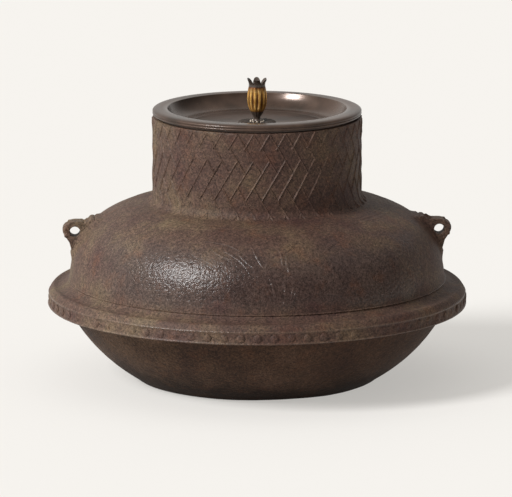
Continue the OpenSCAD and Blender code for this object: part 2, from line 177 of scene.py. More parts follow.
# Each side: the way to it, the cosines at which it begins and is full, and its level.
STUDIO = {
    "reflector": ((-0.985, -0.1, 0.14), 0.3, 1.0, 0.75),
    "back_wall": ((0.0, 1.0, 0.0), 0.45, 0.97, 0.74),
    "ceiling": ((0.0, 0.0, 1.0), 0.3, 0.95, 0.55),
    "side_wall": ((0.97, -0.2, 0.1), 0.4, 1.0, 0.1),
}
towards_key = Vector((
    math.sin(KEY_TURN) * math.cos(KEY_RISE),
    -math.cos(KEY_TURN) * math.cos(KEY_RISE),
    math.sin(KEY_RISE),
))
key = bpy.data.objects.new("key_light", bpy.data.lights.new("key_light", "SUN"))
key.data.energy = math.pi * KEY_LEVEL
key.data.angle = KEY_WIDTH
key.rotation_euler = towards_key.to_track_quat("Z", "Y").to_euler()
scene.collection.objects.link(key)

scene.world = bpy.data.worlds.new("studio")
scene.world.use_nodes = True
sky = scene.world.node_tree
look = add(sky, "TexCoord").outputs["Object"]
level = None
for towards, begins, full, strength in STUDIO.values():
    turned_to = add(sky, "VectorMath", {"operation": "DOT_PRODUCT", 1: towards}, {0: look})
    side = add(sky, "MapRange", {
        "interpolation_type": "SMOOTHSTEP", "From Min": begins, "From Max": full,
        "To Min": ROOM_LEVEL / len(STUDIO), "To Max": strength,
    }, {"Value": turned_to.outputs["Value"]}).outputs["Result"]
    level = side if level is None else add(
        sky, "Math", {"operation": "ADD"}, {0: level, 1: side}).outputs[0]
sky.nodes["Background"].inputs["Color"].default_value = linear("#f8f6f2")
sky.links.new(level, sky.nodes["Background"].inputs["Strength"])
print("key light towards", [round(c, 2) for c in towards_key])

# %% [markdown]
# Every finish starts as a new material whose patterns follow the Object coordinates, so that they
# stay in place when a piece moves. Its colour is built in layers from the bottom up, because each
# layer can then be judged by itself. The Mix node lays one colour over another. It has sockets for
# several kinds of data, so those for colours are named here by their numbers. A tint covers by its
# share; speckles and shade multiply, so they only darken.

# %% A new finish and its layers
SHARE, UNDER, OVER, BLENDED = 0, 6, 7, 2
TINT = {"data_type": "RGBA", "blend_type": "MIX"}
SPECKLE = {"data_type": "RGBA", "blend_type": "MULTIPLY", SHARE: 0.9}
SHADE = {"data_type": "RGBA", "blend_type": "MULTIPLY", SHARE: 1.0}


def new_finish(name):
    """A material with its node tree, its shader and the Object coordinates."""
    material = bpy.data.materials.new(name)
    material.use_nodes = True
    tree = material.node_tree
    place = add(tree, "TexCoord").outputs["Object"]
    return material, tree, tree.nodes["Principled BSDF"], place


print("speckles darken by a share of", SPECKLE[SHARE])

# %% [markdown]
# Cast iron for kettles is poured into a clay mould, baked, and finished with lacquer and tea
# stain. That leaves a rough brown skin: pebbles of about two millimetres from the mould, finer grit
# between them, cloudy brown patches, and rust where water stands. The skin is an oxide, so the
# shader is not metallic. A slope of tone along X paints shade on it: lighter on the left and darker
# from the middle to the right, so that the left looks lit. A zone has another tone and gloss, as
# the front and back of the dome do, which hands have rubbed; heights and a reach to the sides set
# it out. Worn places come from an attribute that each mesh carries; they are polished and paler,
# and the paler tone is partly a painted highlight on the crests.

# %% Cast iron
# Noises: size in mm, detail and roughness. Real grit is finer; here it is coarse enough to show.
CLOUDS, PATCHES = (34, 5.0, 0.62), (15, 4.0, 0.65)
PEBBLES, GRIT = (2.0, 2.0, 0.55), (0.95, 2.0, 0.6)
PEBBLE_H, GRIT_H = 0.46, 0.12
ZONE_WANDER, ZONE_STRENGTH = 14, 0.75
RUST_BEGINS, RUST_FULL = 0.54, 0.74
# Painted shade: along X the skin darkens from the left towards the middle and the right.
LIT_LEFT_X, SHADED_FROM_X = -105, -5
SKIN_ROUGHNESS = 0.66
PALE_WEAR_AND_HIGHLIGHT, WORN_POLISH = 0.22, -0.45
PEBBLE_TONES = [(0.32, "#b4b4b4"), (0.5, "#dadada"), (0.68, "#ffffff")]
GRIT_TONES = [(0.32, "#8c8c8c"), (0.5, "#dadada"), (0.68, "#ffffff")]
RUST_TONES = [(0.35, "#55321f"), (0.65, "#8a5a3a")]
# Painted shade: white on the lit left, a darker tone from the middle to the right.
PAINTED_SHADE_TONES = [(0.0, "#ffffff"), (1.0, "#d8cdcc")]
# Paler tones of worn crests; they are wear, and partly a painted highlight.
WEAR_AND_HIGHLIGHT_TONES = [(0.3, "#655244"), (0.7, "#98826f")]


def cast_iron_finish(name, stops, zone, reach, zone_tones, zone_roughness, rust_level, shine):
    """Rough oxide skin; a zone, four heights and a reach to the sides in mm, has its own finish."""
    material, tree, shader, place = new_finish(name)
    clouds, patches, pebbles, grit = (
        add(tree, "TexNoise", {"Scale": per_mm(size), "Detail": detail, "Roughness": roughness},
            {"Vector": place}).outputs["Fac"]
        for size, detail, roughness in (CLOUDS, PATCHES, PEBBLES, GRIT))

    sideways, _, height = add(tree, "SeparateXYZ", {}, {"Vector": place}).outputs
    across = add(tree, "Math", {"operation": "ABSOLUTE"}, {0: sideways}).outputs[0]
    wander = add(tree, "MapRange", {"To Min": -ZONE_WANDER * MM, "To Max": ZONE_WANDER * MM},
                 {"Value": clouds}).outputs["Result"]
    height = add(tree, "Math", {"operation": "ADD"}, {0: height, 1: wander}).outputs[0]
    foot, full_foot, full_top, top = zone
    in_zone = None
    for value, none, full in ((height, foot, full_foot), (height, top, full_top), (across, *reach)):
        edge = add(tree, "MapRange", {
            "interpolation_type": "SMOOTHSTEP", "From Min": none * MM, "From Max": full * MM,
        }, {"Value": value}).outputs["Result"]
        in_zone = edge if in_zone is None else add(
            tree, "Math", {"operation": "MULTIPLY"}, {0: in_zone, 1: edge}).outputs[0]

    tone = add(tree, "MapRange", {"To Max": ZONE_STRENGTH}, {"Value": in_zone}).outputs["Result"]
    rust = add(tree, "MapRange", {
        "From Min": RUST_BEGINS, "From Max": RUST_FULL, "To Max": rust_level,
    }, {"Value": patches}).outputs["Result"]
    # Painted shade along X: none on the left, full from near the middle to the right.
    painted_shade = add(tree, "MapRange", {"From Min": LIT_LEFT_X * MM, "From Max": SHADED_FROM_X * MM},
                  {"Value": sideways}).outputs["Result"]
    worn = add(tree, "Attribute", {"attribute_name": "wear"}).outputs["Fac"]
    # Worn crests turn paler: wear, and partly a painted highlight.
    pale = add(tree, "MapRange", {"To Max": PALE_WEAR_AND_HIGHLIGHT}, {"Value": worn}).outputs["Result"]
    colour = add(tree, "ValToRGB", {"stops": stops}, {"Fac": clouds}).outputs["Color"]
    for way, share, tones, pattern in (
            (TINT, {SHARE: tone}, zone_tones, clouds),
            (SPECKLE, {}, PEBBLE_TONES, pebbles),
            (SPECKLE, {}, GRIT_TONES, grit),
            (TINT, {SHARE: rust}, RUST_TONES, grit),
            (SHADE, {}, PAINTED_SHADE_TONES, painted_shade),
            (TINT, {SHARE: pale}, WEAR_AND_HIGHLIGHT_TONES, grit)):
        layer = add(tree, "ValToRGB", {"stops": tones}, {"Fac": pattern}).outputs["Color"]
        colour = add(tree, "Mix", way, {**share, UNDER: colour, OVER: layer}).outputs[BLENDED]
    tree.links.new(colour, shader.inputs["Base Color"])

    dull = add(tree, "MapRange", {"To Min": SKIN_ROUGHNESS, "To Max": zone_roughness},
               {"Value": in_zone}).outputs["Result"]
    polish = add(tree, "MapRange", {"To Max": WORN_POLISH}, {"Value": worn}).outputs["Result"]
    gloss = add(tree, "Math", {"operation": "ADD"}, {0: dull, 1: polish})
    tree.links.new(gloss.outputs[0], shader.inputs["Roughness"])
    shader.inputs["Specular IOR Level"].default_value = shine
    bump = add(tree, "Bump", {"Strength": 1.0, "Distance": PEBBLE_H * MM}, {"Height": pebbles})
    bump = add(tree, "Bump", {"Strength": 1.0, "Distance": GRIT_H * MM},
               {"Height": grit, "Normal": bump.outputs["Normal"]})
    tree.links.new(bump.outputs["Normal"], shader.inputs["Normal"])
    return material


cast_iron = cast_iron_finish(
    "cast_iron_brown_skin", [(0.3, "#654a44"), (0.5, "#786052"), (0.7, "#8d795f")],
    zone=(69, 78, 100, 115), reach=(118, 84), zone_tones=[(0.35, "#584c48"), (0.65, "#6c5d58")],
    zone_roughness=0.24, rust_level=0.3, shine=0.26)
print("made", cast_iron.name)

# %% [markdown]
# The fitted bottom faces the fire. It is darker than the upper casting and its skin is duller. Its
# foot is painted near black, as shade where the bowl meets the table. The same recipe gives it,
# with other tones and a zone at the foot.

# %% Darker iron, with painted shade at the foot
ALL_ACROSS = (300, 200)
# The zone at the foot is painted shade: near black where the bowl meets the table.
pan_iron = cast_iron_finish(
    "cast_iron_dark_with_painted_foot_shade", [(0.3, "#513b2f"), (0.5, "#654d3b"), (0.7, "#765d4a")],
    zone=(-40, -30, 4, 24), reach=ALL_ACROSS, zone_tones=[(0.35, "#1f150f"), (0.65, "#33241a")],
    zone_roughness=0.8, rust_level=0.2, shine=0.13)
print("made", pan_iron.name)

# %% [markdown]
# Inside lie wrought iron plates on beds of lacquer and iron powder, which make the kettle sing.
# Boiling water has rusted the plates evenly, so the castings' recipe serves with more rust. The
# lacquer is almost black with a dull shine, and a fine noise between two blacks gives the powder.

# %% Plate iron and lacquer
POWDER = 0.8  # in mm; real powder is finer, and this is as coarse as it needs to show
plate_iron = cast_iron_finish(
    "wrought_iron_rusted", [(0.3, "#3d2f29"), (0.5, "#54392a"), (0.7, "#6b4a36")],
    zone=(-40, -30, 0, 10), reach=ALL_ACROSS, zone_tones=[(0.35, "#3d2f29"), (0.65, "#6b4a36")],
    zone_roughness=0.6, rust_level=0.7, shine=0.3)
lacquer, tree, shader, place = new_finish("lacquer_with_iron_powder")
powder = add(tree, "TexNoise", {"Scale": per_mm(POWDER), "Detail": 2.0}, {"Vector": place})
blacks = add(tree, "ValToRGB", {"stops": [(0.4, "#17100e"), (0.7, "#2f2420")]},
             {"Fac": powder.outputs["Fac"]})
tree.links.new(blacks.outputs["Color"], shader.inputs["Base Color"])
shader.inputs["Roughness"].default_value = 0.32
print("made", plate_iron.name, "and", lacquer.name)

# %% [markdown]
# The lid is cast bronze, turned on a lathe and coloured brown with plum vinegar and verdigris, then
# waxed. The brown film hides most of the metal, so it is given as a half metallic brown; the wax is
# a thin clear coat, whose reflections stay white. Fine turning rings run round it and follow the
# distance from the axis, worked out from the Object coordinates. By the same distance the lid's
# floor and rim, which are wiped most, are duller than the wall of its dish. Grooves, marked by an
# attribute, hold old wax and soot. The same recipe serves for the knob's darker metal, the sooted
# washer and the beads, whose light tone is rubbed metal and partly a painted highlight.

# %% Patinated bronze
PATINA_CLOUDS = 22
LATHE_RINGS, LATHE_RING_H = 0.9, 0.02  # in mm; real rings are finer than the render can show
DISH_WALL_R, DISH_WALL_NEAR, DISH_WALL_FAR = 56, 5, 9
SOOT_TONES = [(0.35, "#140f0c"), (0.6, "#221a15")]


def bronze_finish(name, stops, roughness, wax, scoured=0.0):
    """Brown patina on turned bronze under wax; scoured dulls a lid's floor and rim."""
    material, tree, shader, place = new_finish(name)
    cloud = add(tree, "TexNoise", {"Scale": per_mm(PATINA_CLOUDS), "Detail": 4.0, "Roughness": 0.6},
                {"Vector": place}).outputs["Fac"]
    patina, soot = (add(tree, "ValToRGB", {"stops": tones}, {"Fac": cloud}).outputs["Color"]
                    for tones in (stops, SOOT_TONES))
    grooves = add(tree, "Attribute", {"attribute_name": "groove"}).outputs["Fac"]
    colour = add(tree, "Mix", TINT, {SHARE: grooves, UNDER: patina, OVER: soot})
    tree.links.new(colour.outputs[BLENDED], shader.inputs["Base Color"])
    shader.inputs["Metallic"].default_value = 0.45
    shader.inputs["Coat Weight"].default_value = wax
    shader.inputs["Coat Roughness"].default_value = 0.14
    gloss = add(tree, "MapRange", {"To Min": roughness - 0.05, "To Max": roughness + 0.07},
                {"Value": cloud})
    flat = add(tree, "VectorMath", {"operation": "MULTIPLY", 1: (1.0, 1.0, 0.0)}, {0: place})
    radius = add(tree, "VectorMath", {"operation": "LENGTH"},
                 {0: flat.outputs["Vector"]}).outputs["Value"]
    off_wall = add(tree, "Math", {"operation": "SUBTRACT", 1: DISH_WALL_R * MM}, {0: radius})
    off_wall = add(tree, "Math", {"operation": "ABSOLUTE"}, {0: off_wall.outputs[0]})
    scour = add(tree, "MapRange", {
        "From Min": DISH_WALL_NEAR * MM, "From Max": DISH_WALL_FAR * MM, "To Max": scoured,
    }, {"Value": off_wall.outputs[0]})
    rough = add(tree, "Math", {"operation": "ADD"},
                {0: gloss.outputs["Result"], 1: scour.outputs["Result"]})
    tree.links.new(rough.outputs[0], shader.inputs["Roughness"])
    rings = add(tree, "TexNoise", {
        "noise_dimensions": "1D", "Scale": per_mm(LATHE_RINGS), "Detail": 2.0}, {"W": radius})
    bump = add(tree, "Bump", {"Strength": 0.6, "Distance": LATHE_RING_H * MM},
               {"Height": rings.outputs["Fac"]})
    tree.links.new(bump.outputs["Normal"], shader.inputs["Normal"])
    return material


bronze = bronze_finish(
    "bronze_brown_patina", [(0.35, "#382a20"), (0.5, "#463429"), (0.68, "#554135")],
    roughness=0.24, wax=0.3, scoured=0.2)
# The beads' light tone: rubbed bronze, and partly a painted highlight.
rubbed_bronze_and_highlight = bronze_finish(
    "bronze_rubbed_with_painted_highlight", [(0.35, "#857a6e"), (0.6, "#a99c8c")], roughness=0.28, wax=0.6)
sooted_bronze = bronze_finish(
    "bronze_sooted", [(0.35, "#241d19"), (0.6, "#4a3f37")], roughness=0.62, wax=0.05)
dark_bronze = bronze_finish(
    "dark_patinated_bronze", [(0.35, "#3a302a"), (0.6, "#574a41")], roughness=0.42, wax=0.5)
print("made", [finish.name for finish in (bronze, rubbed_bronze_and_highlight, sooted_bronze, dark_bronze)])

# %% [markdown]
# The fruit is gilt: gold leaf burnished onto bronze, worn on the ribs and gone from the grooves,
# where red-brown lacquer shows. A noise alone could place the wear, but wear follows the shape, so
# the mesh carries an attribute that is one in a groove.

# %% Worn gilding
RUBBED_SPOTS = 2.4
gilt, tree, shader, place = new_finish("worn_gilding_on_bronze")
rub = add(tree, "TexNoise", {"Scale": per_mm(RUBBED_SPOTS), "Detail": 3.0, "Roughness": 0.65},
          {"Vector": place}).outputs["Fac"]
gold = add(tree, "ValToRGB", {"stops": [(0.3, "#bb8439"), (0.5, "#e2ae5b"), (0.7, "#f4d189")]},
           {"Fac": rub})
ground = add(tree, "ValToRGB", {"stops": [(0.3, "#3f1d0f"), (0.7, "#6a3519")]}, {"Fac": rub})
grooves = add(tree, "Attribute", {"attribute_name": "groove"}).outputs["Fac"]
colour = add(tree, "Mix", TINT,
             {SHARE: grooves, UNDER: gold.outputs["Color"], OVER: ground.outputs["Color"]})
tree.links.new(colour.outputs[BLENDED], shader.inputs["Base Color"])
shader.inputs["Metallic"].default_value = 0.65
shader.inputs["Roughness"].default_value = 0.36
print("made", gilt.name)

# %% [markdown]
# Every turned piece starts as its section: half of the cut through its axis, as radius and height.
# Straight runs need two points and curved ones are cubic curves, as in the drawing of a pattern
# maker. The spin operator turns the section round the axis, then doubles on the seam are merged.

# %% Turning helpers
MERGE = 0.002 * MM


def cubic(a, b, c, d, count):
    """Points of a cubic curve from a to d with handles b and c."""
    return [tuple(p) for p in interpolate_bezier(*map(Vector, (a, b, c, d)), count)]


def inset(line, wall):
    """A line at this distance on the right of the way it runs."""
    shifted = []
    for i, point in enumerate(line):
        run = Vector(line[min(i + 1, len(line) - 1)]) - Vector(line[max(i - 1, 0)])
        side = Vector((run.y, -run.x)).normalized()
        shifted.append(tuple(Vector(point) + wall * side))
    return shifted


def turned(section, steps):
    """Bmesh of a closed section, in mm, turned round the Z axis."""
    bm = bmesh.new()
    corners = [bm.verts.new((r * MM, 0, z * MM)) for r, z in section]
    for a, b in zip(corners, corners[1:] + corners[:1]):
        if a.co.x > MERGE or b.co.x > MERGE:
            bm.edges.new((a, b))
    bmesh.ops.spin(bm, geom=bm.verts[:] + bm.edges[:], cent=(0, 0, 0), axis=(0, 0, 1),
                   angle=math.tau, steps=steps, use_merge=True)
    bmesh.ops.remove_doubles(bm, verts=bm.verts, dist=MERGE)
    bmesh.ops.recalc_face_normals(bm, faces=bm.faces)
    bm.normal_update()
    return bm


def polar(v):
    """Radius and height of a vertex, in mm."""
    return math.hypot(v.co.x, v.co.y) / MM, v.co.z / MM


print("points within", MERGE / MM, "mm are merged")

# %% [markdown]
# A finished mesh becomes an object at the origin, with its place in its points, as the CAD pieces
# have theirs. It rides on a body of the CAD model, so that it moves with the right joint. Its slot
# holds its material, and it stands for the CAD nodes that it covers, which are hidden.

# %% Placing a piece
CRISP_ANGLE = 50


def place_piece(name, bm, material, body, nodes=(), sharp=CRISP_ANGLE):
    """Turns a bmesh into a piece that rides on a body and stands for CAD nodes."""
    mesh = bpy.data.meshes.new(name)
    bm.to_mesh(mesh)
    bm.free()
    mesh.shade_smooth()
    mesh.set_sharp_from_angle(angle=math.radians(sharp))
    mesh.materials.append(material)
    piece = bpy.data.objects.new(name, mesh)
    scene.collection.objects.link(piece)
    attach(piece, body)
    if nodes:
        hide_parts(*nodes)
    print(name, len(mesh.polygons), "faces")
    return piece


print("edges over", CRISP_ANGLE, "degrees stay crisp")

# %% [markdown]
# The upper casting is one turned shape: neck, hollow, dome and hearth flange. The outside follows
# the CAD section. Six low rings run round the shoulder, a raised line marks the dome's foot, and
# the flange's band lies a little back between two crisp edges. The inside is the outside moved in
# by the wall.

# %% Section of the upper casting
MOUTH_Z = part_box("kettle_body")[1].z / MM
FLANGE_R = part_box("kettle_body")[1].x / MM
FLANGE_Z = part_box("kettle_body")[0].z / MM
NECK_R, NECK_DRAW, NECK_FOOT_Z = 71.8, 0.4, 129.5
BODY_WALL = 3.4
HOLLOW_DROP, HOLLOW_RUN = 3.74, 2.86
SHOULDER = Vector((77.0, 122.7))
SHOULDER_DIR = Vector((math.cos(math.radians(10)), -math.sin(math.radians(10))))
DOME_FOOT = Vector((129.4, 69.7))
DOME_DIR = Vector((-math.sin(math.radians(4)), math.cos(math.radians(4))))
SHOULDER_PULL, DOME_PULL = 34.6, 31.8
RING_RADII, RING_H, RING_W = (78.6, 80.7, 83.0, 85.5, 88.4, 92.0), 0.36, 0.7
RINGED_POINTS = 40
FOOT_RING = ((0.45, -0.1), (0.7, -0.4), (0.65, -0.95), (0.25, -1.4))
BAND_DRAW, BAND_BACK, BAND_H = 0.4, 0.7, 7.6
BAND_TOP = Vector((FLANGE_R - BAND_DRAW, FLANGE_Z + 8.6))
EDGE_R, EDGE_PULL = 1.0, 0.45
LIP_W, LIP_RISE = 6.5, 5.0
REBATE_R, REBATE_Z = 131.7, FLANGE_Z + 5.0
dome_curve = [Vector((*p, 0)) for p in (
    SHOULDER, SHOULDER + SHOULDER_PULL * SHOULDER_DIR, DOME_FOOT + DOME_PULL * DOME_DIR, DOME_FOOT)]


def ringed(line):
    """The shoulder's line with low rings raised on it."""
    raised = []
    for r, z in line:
        rings = sum(RING_H * math.exp(-((r - at) / RING_W) ** 2) for at in RING_RADII)
        raised.append((r, z + rings))
    return raised


neck_pull = (MOUTH_Z - NECK_FOOT_Z) / 3
neck = cubic((NECK_R, MOUTH_Z), (NECK_R - NECK_DRAW, MOUTH_Z - neck_pull),
             (NECK_R - NECK_DRAW, NECK_FOOT_Z + neck_pull), (NECK_R, NECK_FOOT_Z), 36)
hollow = cubic((NECK_R, NECK_FOOT_Z), (NECK_R, NECK_FOOT_Z - HOLLOW_DROP),
               SHOULDER - HOLLOW_RUN * SHOULDER_DIR, SHOULDER, 10)
dome = [p[:2] for p in cubic(*dome_curve, 110)]
foot_ring = [tuple(DOME_FOOT + Vector(p)) for p in FOOT_RING]
lip_in = BAND_TOP + Vector((-LIP_W, LIP_RISE * 0.9))
lip_top = BAND_TOP + Vector((-LIP_W * 2 / 3, LIP_RISE))
strip = cubic(DOME_FOOT + Vector((0.23, -1.4)), DOME_FOOT + Vector((2.2, -3.4)),
              lip_in - Vector((1.95, 0)), lip_in, 10)
lip = cubic(lip_top, lip_top + Vector((1.7, -0.1)), BAND_TOP + Vector((-0.9, 1.7)), BAND_TOP, 12)
band = [(FLANGE_R - BAND_DRAW + BAND_DRAW * t - BAND_BACK * math.sin(math.pi * t) ** 0.5,
         BAND_TOP.y - BAND_H * t) for t in (0.06, 0.15, 0.3, 0.45, 0.6, 0.75, 0.88, 0.95)]
edge = cubic((FLANGE_R, FLANGE_Z + EDGE_R), (FLANGE_R, FLANGE_Z + EDGE_PULL),
             (FLANGE_R - EDGE_PULL, FLANGE_Z), (FLANGE_R - EDGE_R, FLANGE_Z), 4)
outside = (neck + hollow[1:] + ringed(dome[1:RINGED_POINTS]) + dome[RINGED_POINTS + 1::2]
           + foot_ring + strip[1:] + lip + band + edge)
inside = inset(hollow[::2] + dome[6::6], BODY_WALL)
section = (
    [(NECK_R - BODY_WALL, MOUTH_Z - 0.6), (NECK_R - BODY_WALL + 0.5, MOUTH_Z)]
    + [(NECK_R - 0.6, MOUTH_Z), (NECK_R - 0.1, MOUTH_Z - 0.4)] + outside[1:]
    + [(REBATE_R, FLANGE_Z), (REBATE_R, REBATE_Z), (DOME_FOOT.x - BODY_WALL, REBATE_Z)]
    + inside[::-1][:-1] + [(NECK_R - BODY_WALL, NECK_FOOT_Z)]
)
print("section of", len(section), "points")

# %% [markdown]
# A mould pressed by hand is never quite true. After turning, each point moves in a little along
# its normal: slow swells of a few tenths of a millimetre and pebbles of a tenth. Round each lug the
# skin rises in a soft fillet, because the lug was set in the mould and the iron ran up to it. The
# attribute wear is raised on crests, where hands and cloths have polished the skin; in the cast
# iron it also turns them paler, partly as a painted highlight.

# %% Upper casting
BODY_STEPS = 360
FILLET_H, FILLET_REACH = 2.4, 7.0
DOME_SIDE_R = 100
SWELL_SIZE = 45
CREST_SPREAD = 0.45
CRESTS = [(NECK_R, MOUTH_Z, 0.3), (*foot_ring[1], 0.5), (*BAND_TOP, 1.0), (*edge[0], 0.8)]


def cast_skin(bm, swell, pebble, fine_size, crests=()):
    """Moves points in along their normals by noise, and marks worn crests."""
    wear = bm.verts.layers.float.new("wear")
    for v in bm.verts:
        r, z = polar(v)
        slow = noise.noise(v.co / (SWELL_SIZE * MM)) - 1
        fine = noise.fractal(v.co / (fine_size * MM), 0.6, 2.0, 3) - 1
        v[wear] = max([0.0] + [
            w * math.exp(-((r - cr) ** 2 + (z - cz) ** 2) / CREST_SPREAD) for cr, cz, w in crests])
        v.co += v.normal * MM * (swell * slow + pebble * fine)


def cad_copy(node):
    """A merged copy of a CAD node's mesh."""
    bm = bmesh.new()
    bm.from_mesh(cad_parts[node].data)
    bmesh.ops.remove_doubles(bm, verts=bm.verts, dist=MERGE)
    return bm


bm = turned(section, BODY_STEPS)
lifted = 0
for node in ("left_lug", "right_lug"):
    lug = cad_copy(node)
    surface = BVHTree.FromBMesh(lug)
    lug.free()
    low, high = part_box(node)
    reach = FILLET_REACH * MM
    for v in bm.verts:
        near = all(low[i] - reach < v.co[i] < high[i] + reach for i in range(3))
        if near and math.hypot(v.co.x, v.co.y) > DOME_SIDE_R * MM and v.normal.z > 0:
            gap = surface.find_nearest(v.co)[3]
            if gap < reach:
                v.co += v.normal * FILLET_H * MM * (1 - gap / reach) ** 2
                lifted += 1
bm.normal_update()
print("fillet points:", lifted)
cast_skin(bm, swell=0.2, pebble=0.07, fine_size=4.0, crests=CRESTS)
bm.normal_update()
skin = BVHTree.FromBMesh(bm)
place_piece("upper_casting", bm, cast_iron, "kettle", ["kettle_body"])

# %% [markdown]
# Two drawings stand out from the casting as thin raised lines, the lattice on the neck and the
# reeds on the dome; on the real kettle they were cut into the mould. A curve with a bevel could
# give such lines. Here one low bar is made, closed on all sides and rounded on top, and a copy is
# bent along each line, because a bar has few faces, can sink into the skin and is worn by noise.

# %% Raised lines
LINE_SINK = 0.35
BAR_EDGE_H, BAR_TAPER = 0.55, 0.6
UNEVEN_SIZE = 7


def bar(segments):
    """A low closed bar: along X from 0 to 1, across Y from -1 to 1, with a rounded top at Z 1."""
    bm = bmesh.new()
    bmesh.ops.create_cube(bm, size=1, matrix=(
        Matrix.Translation((0.5, 0, 0.5)) @ Matrix.Diagonal((1, 2, 1, 1))))
    along = [e for e in bm.edges if abs(e.verts[0].co.x - e.verts[1].co.x) > 0.5]
    bmesh.ops.subdivide_edges(bm, edges=along, cuts=segments - 1, use_grid_fill=True)
    across = [e for e in bm.edges if abs(e.verts[0].co.y - e.verts[1].co.y) > 0.5]
    bmesh.ops.subdivide_edges(bm, edges=across, cuts=1, use_grid_fill=True)
    for v in bm.verts:
        if v.co.z > 0.5:
            v.co.z = 1.0 if abs(v.co.y) < 0.5 else BAR_EDGE_H
            v.co.y *= BAR_TAPER
    return bm


def raised_line(bm, spots, width, height, wear_level):
    """Lays a bar along spots, which are pairs of a point and a normal of the skin."""
    template = bar(len(spots) - 1)
    wear = template.verts.layers.float.new("wear")
    for v in template.verts:
        i = round(v.co.x * (len(spots) - 1))
        point, normal = spots[i]
        run = spots[min(i + 1, len(spots) - 1)][0] - spots[max(i - 1, 0)][0]
        side = normal.cross(run).normalized()
        uneven = 0.75 + 0.5 * noise.noise(point / (UNEVEN_SIZE * MM))
        worn = height(i / (len(spots) - 1)) * uneven
        v[wear] = wear_level
        v.co = (point + side * v.co.y * width / 2 * MM
                + normal * MM * (v.co.z * (worn + LINE_SINK) - LINE_SINK))
    mesh = bpy.data.meshes.new("line")
    template.to_mesh(mesh)
    template.free()
    bm.from_mesh(mesh)
    bpy.data.meshes.remove(mesh)


print("raised lines reach", LINE_SINK, "mm into the skin")

# %% [markdown]
# The neck carries a higaki pattern, the weave of a cypress-strip fence. Two mirror families of
# slanting lines interlock: each line is three steps long, and the next row starts where a line of
# the other family passes. Rays from outside find the skin under each line, so that the pattern
# follows the casting with all its unevenness.

# %% Higaki lattice
LINES = 41
STEP_Z = 9.15
TOP_ROW_REACH = 1.6
SPACING = math.tau / LINES
FRONT_POINT = math.radians(-89.9)
TOP_ROW_Z = 172.0
LINE_W, LINE_H = 2.1, 0.75
LINE_PARTS, LINE_WEAR = 8, 0.12
PATTERN_TOP, PATTERN_FOOT, FADE_H = 181.0, 123.2, 12
CLEAR_OF_NECK = 120


def on_neck(turn, z):
    """Point and normal of the cast skin at this angle and height."""
    out = Vector((math.cos(turn), math.sin(turn), 0))
    return skin.ray_cast(out * CLEAR_OF_NECK * MM + Vector((0, 0, z * MM)), -out)[:2]


def lattice_line(bm, turn, z, lean, foot):
    """One line down from (turn, z) to foot; lean is +1 for a line that runs down to the right."""
    top = min(z, PATTERN_TOP)
    heights = [top + (foot - top) * i / LINE_PARTS for i in range(LINE_PARTS + 1)]
    spots = [on_neck(turn + lean * SPACING / 2 * (z - h) / STEP_Z, h) for h in heights]
    fade = [min(1.0, max(0.6, (h - PATTERN_FOOT) / FADE_H)) for h in heights]
    raised_line(bm, spots, LINE_W, lambda s: LINE_H * fade[round(s * LINE_PARTS)], LINE_WEAR)


bm = bmesh.new()
for i in range(LINES):
    q = FRONT_POINT + i * SPACING
    lattice_line(bm, q + SPACING / 2, TOP_ROW_Z + STEP_Z, -1, TOP_ROW_Z - TOP_ROW_REACH)
    for row in (0, 1):
        turn = q + row * SPACING
        row_z = TOP_ROW_Z - 4 * STEP_Z * row
        for z, angle, lean in ((row_z + STEP_Z, turn - SPACING / 2, 1),
                               (row_z - STEP_Z, turn + SPACING / 2, -1)):
            foot = max(PATTERN_FOOT, z - 3 * STEP_Z)
            if z - foot > 1:
                lattice_line(bm, angle, z, lean, foot)
bmesh.ops.recalc_face_normals(bm, faces=bm.faces)
place_piece("higaki_lattice", bm, cast_iron, "kettle")

# %% [markdown]
# The dome shows the last of a drawing in relief: a clump of reeds that arch to the left, with
# upright stems beside them, so worn that it only catches the light. Each blade is a raised line
# that thins out to both ends. It is set out by its start, middle and end: the angle from the front
# in degrees and the share of the dome's curve, counted from the shoulder down.

# %% Reeds on the dome
BLADE_W, BLADE_H, BLADE_POINTS = 3.2, 0.46, 13
DOME_PARTS = 200
CLEAR_OF_DOME = 5


def on_dome(turn, share):
    """Point and normal of the skin at this angle and this share of the dome's curve."""
    curve = interpolate_bezier(*dome_curve, DOME_PARTS + 1)
    near, here = (curve[round(DOME_PARTS * s)] for s in (share - 0.01, share))
    run = (here - near).normalized()
    out = Vector((-run.y * math.cos(turn), -run.y * math.sin(turn), run.x))
    spot = Vector((here.x * math.cos(turn), here.x * math.sin(turn), here.y)) * MM
    return skin.ray_cast(spot + out * CLEAR_OF_DOME * MM, -out)[:2]


def blade_height(s):
    """Height of a blade at a share of its length."""
    return BLADE_H * math.sin(math.pi * (0.08 + 0.84 * s)) ** 0.5


def blade(bm, start, middle, end):
    """One blade on a smooth curve through three places on the dome."""
    start, middle, end = (Vector((*place, 0)) for place in (start, middle, end))
    peak = 2 * middle - (start + end) / 2
    curve = interpolate_bezier(
        start, start.lerp(peak, 2 / 3), end.lerp(peak, 2 / 3), end, BLADE_POINTS)
    spots = [on_dome(math.radians(place.x - 90), place.y) for place in curve]
    raised_line(bm, spots, BLADE_W, blade_height, 0.0)


